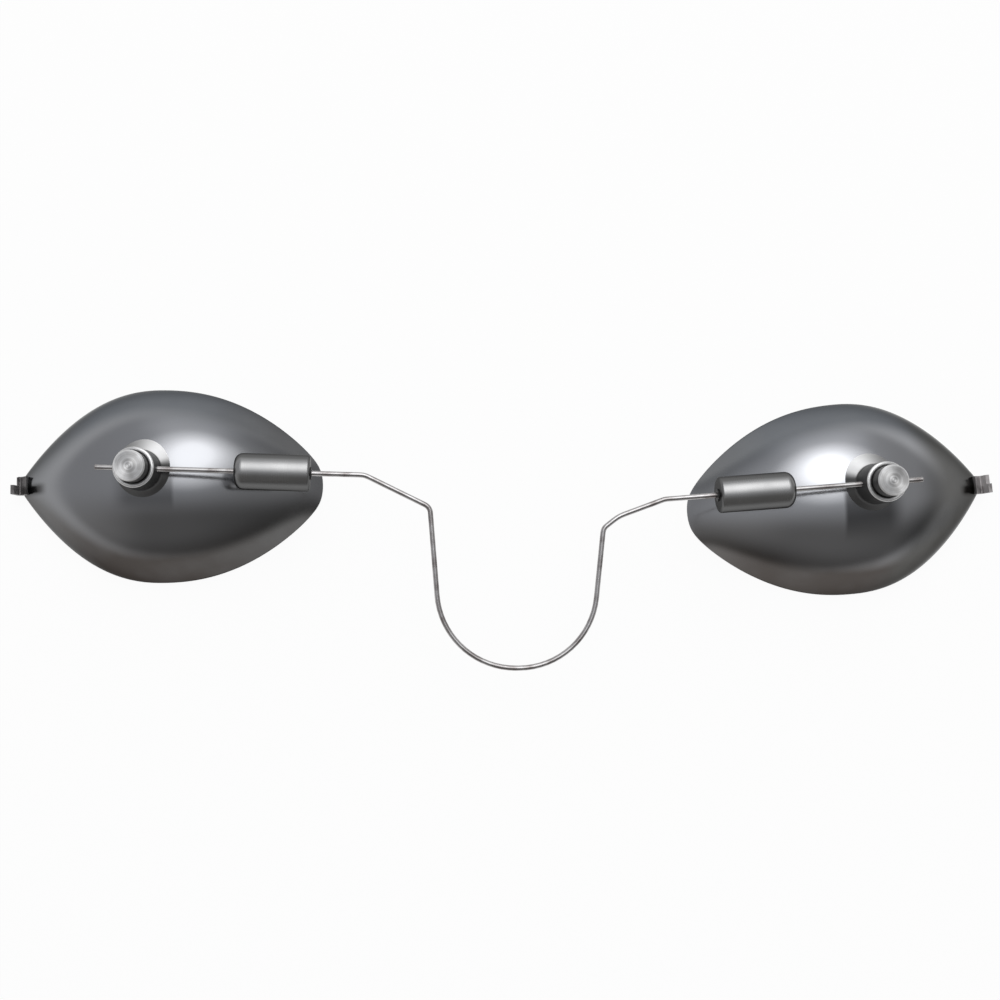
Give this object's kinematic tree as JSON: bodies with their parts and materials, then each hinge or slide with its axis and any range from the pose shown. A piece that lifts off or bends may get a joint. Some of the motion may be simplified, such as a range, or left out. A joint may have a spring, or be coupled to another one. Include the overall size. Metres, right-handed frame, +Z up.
{
  "type": "laser eye shield",
  "caption": "Metal eye shield goggles: domed almond cups on a bent nose-bridge wire, each held by a guide barrel and a sprung push-button lock, with strap hooks at the outer tips.",
  "frame": {"origin": "middle of the whole part, on the plane that the cups' rims stand on", "axes": "+X from the left cup to the right cup as seen from above, +Y to the brows, +Z up out of the domes, away from the eyes"},
  "size_m": [0.161, 0.0455, 0.0177],
  "materials": {
    "cup": "satin polished sheet steel with soft streaks",
    "guide_barrel": "turned and polished along its length",
    "friction_sleeve": "black elastomer, matt",
    "barrel_saddle": "blended solder, satin",
    "lock_housing": "turned, polished rim",
    "push_button": "turned end face with concentric marks",
    "lock_spring": "drawn spring wire",
    "strap_hook": "bent strip, satin",
    "bridge_wire": "drawn spring wire, slightly dull"
  },
  "bodies": {
    "bridge": {"bridge_wire": "bridge_wire"},
    "left_sleeve": {"left_friction_sleeve": "friction_sleeve"},
    "left_shield": {"left_cup": "cup", "left_guide_barrel": "guide_barrel", "left_barrel_saddle": "barrel_saddle", "left_lock_housing": "lock_housing", "left_lock_spring": "lock_spring", "left_strap_hook": "strap_hook"},
    "left_button": {"left_push_button": "push_button"},
    "right_sleeve": {"right_friction_sleeve": "friction_sleeve"},
    "right_shield": {"right_cup": "cup", "right_guide_barrel": "guide_barrel", "right_barrel_saddle": "barrel_saddle", "right_lock_housing": "lock_housing", "right_lock_spring": "lock_spring", "right_strap_hook": "strap_hook"},
    "right_button": {"right_push_button": "push_button"}
  },
  "joints": [
    {"name": "left_slide", "type": "slide", "parent": "bridge", "child": "left_sleeve", "axis": [-0.9975, 0.0192, 0.0685], "range_m": [-0.0055, 0.0025]},
    {"name": "left_turn", "type": "hinge", "parent": "left_sleeve", "child": "left_shield", "pos_m": [-0.05682, 0.00816, 0.014], "axis": [-0.9975, 0.0192, 0.0685], "range_deg": [-90, 90]},
    {"name": "left_press", "type": "slide", "parent": "left_shield", "child": "left_button", "axis": [0, 0, -1], "range_m": [0, 0.0007], "stiffness_N_per_m": 500, "springref_m": -0.0015, "deforming": ["left_lock_spring"]},
    {"name": "right_slide", "type": "slide", "parent": "bridge", "child": "right_sleeve", "axis": [0.9948, 0.0731, 0.071], "range_m": [-0.0055, 0.0025]},
    {"name": "right_turn", "type": "hinge", "parent": "right_sleeve", "child": "right_shield", "pos_m": [0.05682, 0.00626, 0.014], "axis": [0.9948, 0.0731, 0.071], "range_deg": [-90, 90]},
    {"name": "right_press", "type": "slide", "parent": "right_shield", "child": "right_button", "axis": [0, 0, -1], "range_m": [0, 0.0007], "stiffness_N_per_m": 500, "springref_m": -0.0015, "deforming": ["right_lock_spring"]}
  ]
}
